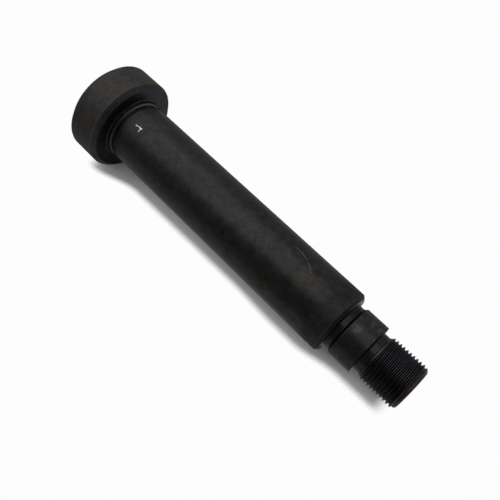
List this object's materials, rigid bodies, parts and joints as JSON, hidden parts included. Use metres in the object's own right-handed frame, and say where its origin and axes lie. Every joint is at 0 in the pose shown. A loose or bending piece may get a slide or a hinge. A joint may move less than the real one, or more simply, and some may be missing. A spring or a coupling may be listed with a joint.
{
  "type": "headed shoulder pin",
  "caption": "Turned steel shoulder pin with a cylindrical head, a long plain shank, a stepped pilot and a fine threaded end.",
  "frame": {"origin": "centre of the head's flat outer face, on which the pin stands", "axes": "+Z along the turning axis, from the head towards the threaded tip; the pin is round, so X and Y are any two directions across it"},
  "size_m": [0.044, 0.044, 0.1755],
  "materials": {
    "black_oxide_steel": "turned steel with a thin black oxide finish, semi-gloss, slightly mottled"
  },
  "bodies": {
    "root": {"shoulder_pin": "black_oxide_steel"}
  },
  "joints": []
}
